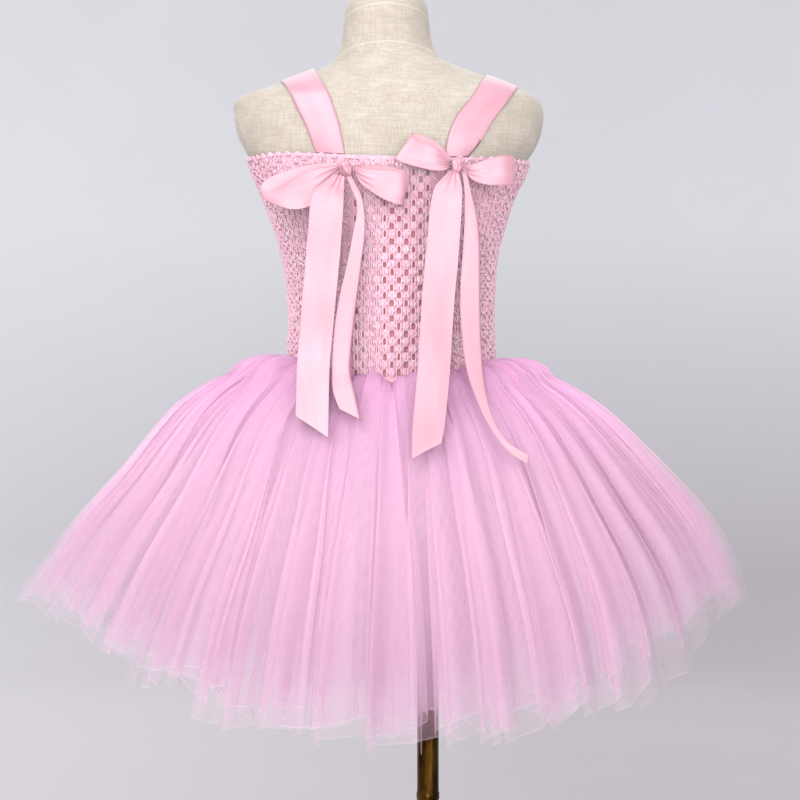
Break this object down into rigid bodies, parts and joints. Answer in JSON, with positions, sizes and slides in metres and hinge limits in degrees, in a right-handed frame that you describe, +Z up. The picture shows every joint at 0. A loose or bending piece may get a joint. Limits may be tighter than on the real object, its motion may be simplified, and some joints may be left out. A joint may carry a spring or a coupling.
{
  "type": "tutu dress on dress form",
  "caption": "Child's tulle tutu dress with crochet tube bodice, ribbon straps and bows, worn on a limbless dress form on a pole and round base.",
  "frame": {"origin": "on the floor under the base, below the middle of the whole", "axes": "+Z up, -Y out of the dress's back, which the picture shows; +X to the right as seen from behind"},
  "size_m": [0.6872, 0.455, 1.0605],
  "materials": {
    "crochet": "crocheted yarn, matt",
    "satin_ribbon": "satin weave, soft sheen",
    "tulle": "fine hexagonal net, translucent",
    "linen": "plain weave, matt",
    "brass": "aged, satin"
  },
  "bodies": {
    "root": {"form_torso": "linen", "form_pole": "brass", "form_base": "brass", "bodice_back": "crochet", "bodice_front": "crochet", "strap_left": "satin_ribbon", "strap_right": "satin_ribbon", "tulle_outer_01": "tulle", "tulle_outer_02": "tulle", "tulle_outer_03": "tulle", "tulle_outer_04": "tulle", "tulle_outer_05": "tulle", "tulle_outer_06": "tulle", "tulle_outer_07": "tulle", "tulle_outer_08": "tulle", "tulle_outer_09": "tulle", "tulle_outer_10": "tulle", "tulle_outer_11": "tulle", "tulle_outer_12": "tulle", "tulle_outer_13": "tulle", "tulle_outer_14": "tulle", "tulle_outer_15": "tulle", "tulle_outer_16": "tulle", "tulle_outer_17": "tulle", "tulle_outer_18": "tulle", "tulle_outer_19": "tulle", "tulle_outer_20": "tulle", "tulle_outer_21": "tulle", "tulle_outer_22": "tulle", "tulle_outer_23": "tulle", "tulle_outer_24": "tulle", "tulle_under_01": "tulle", "tulle_under_02": "tulle", "tulle_under_03": "tulle", "tulle_under_04": "tulle", "tulle_under_05": "tulle", "tulle_under_06": "tulle", "tulle_under_07": "tulle", "tulle_under_08": "tulle", "tulle_under_09": "tulle", "tulle_under_10": "tulle", "tulle_under_11": "tulle", "tulle_under_12": "tulle", "bow_left_knot": "satin_ribbon", "bow_left_loop_outer": "satin_ribbon", "bow_left_loop_inner": "satin_ribbon", "bow_left_tail_wide": "satin_ribbon", "bow_left_tail_narrow": "satin_ribbon", "bow_right_knot": "satin_ribbon", "bow_right_loop_outer": "satin_ribbon", "bow_right_loop_inner": "satin_ribbon", "bow_right_tail_wide": "satin_ribbon", "bow_right_tail_twist": "satin_ribbon"}
  },
  "joints": []
}
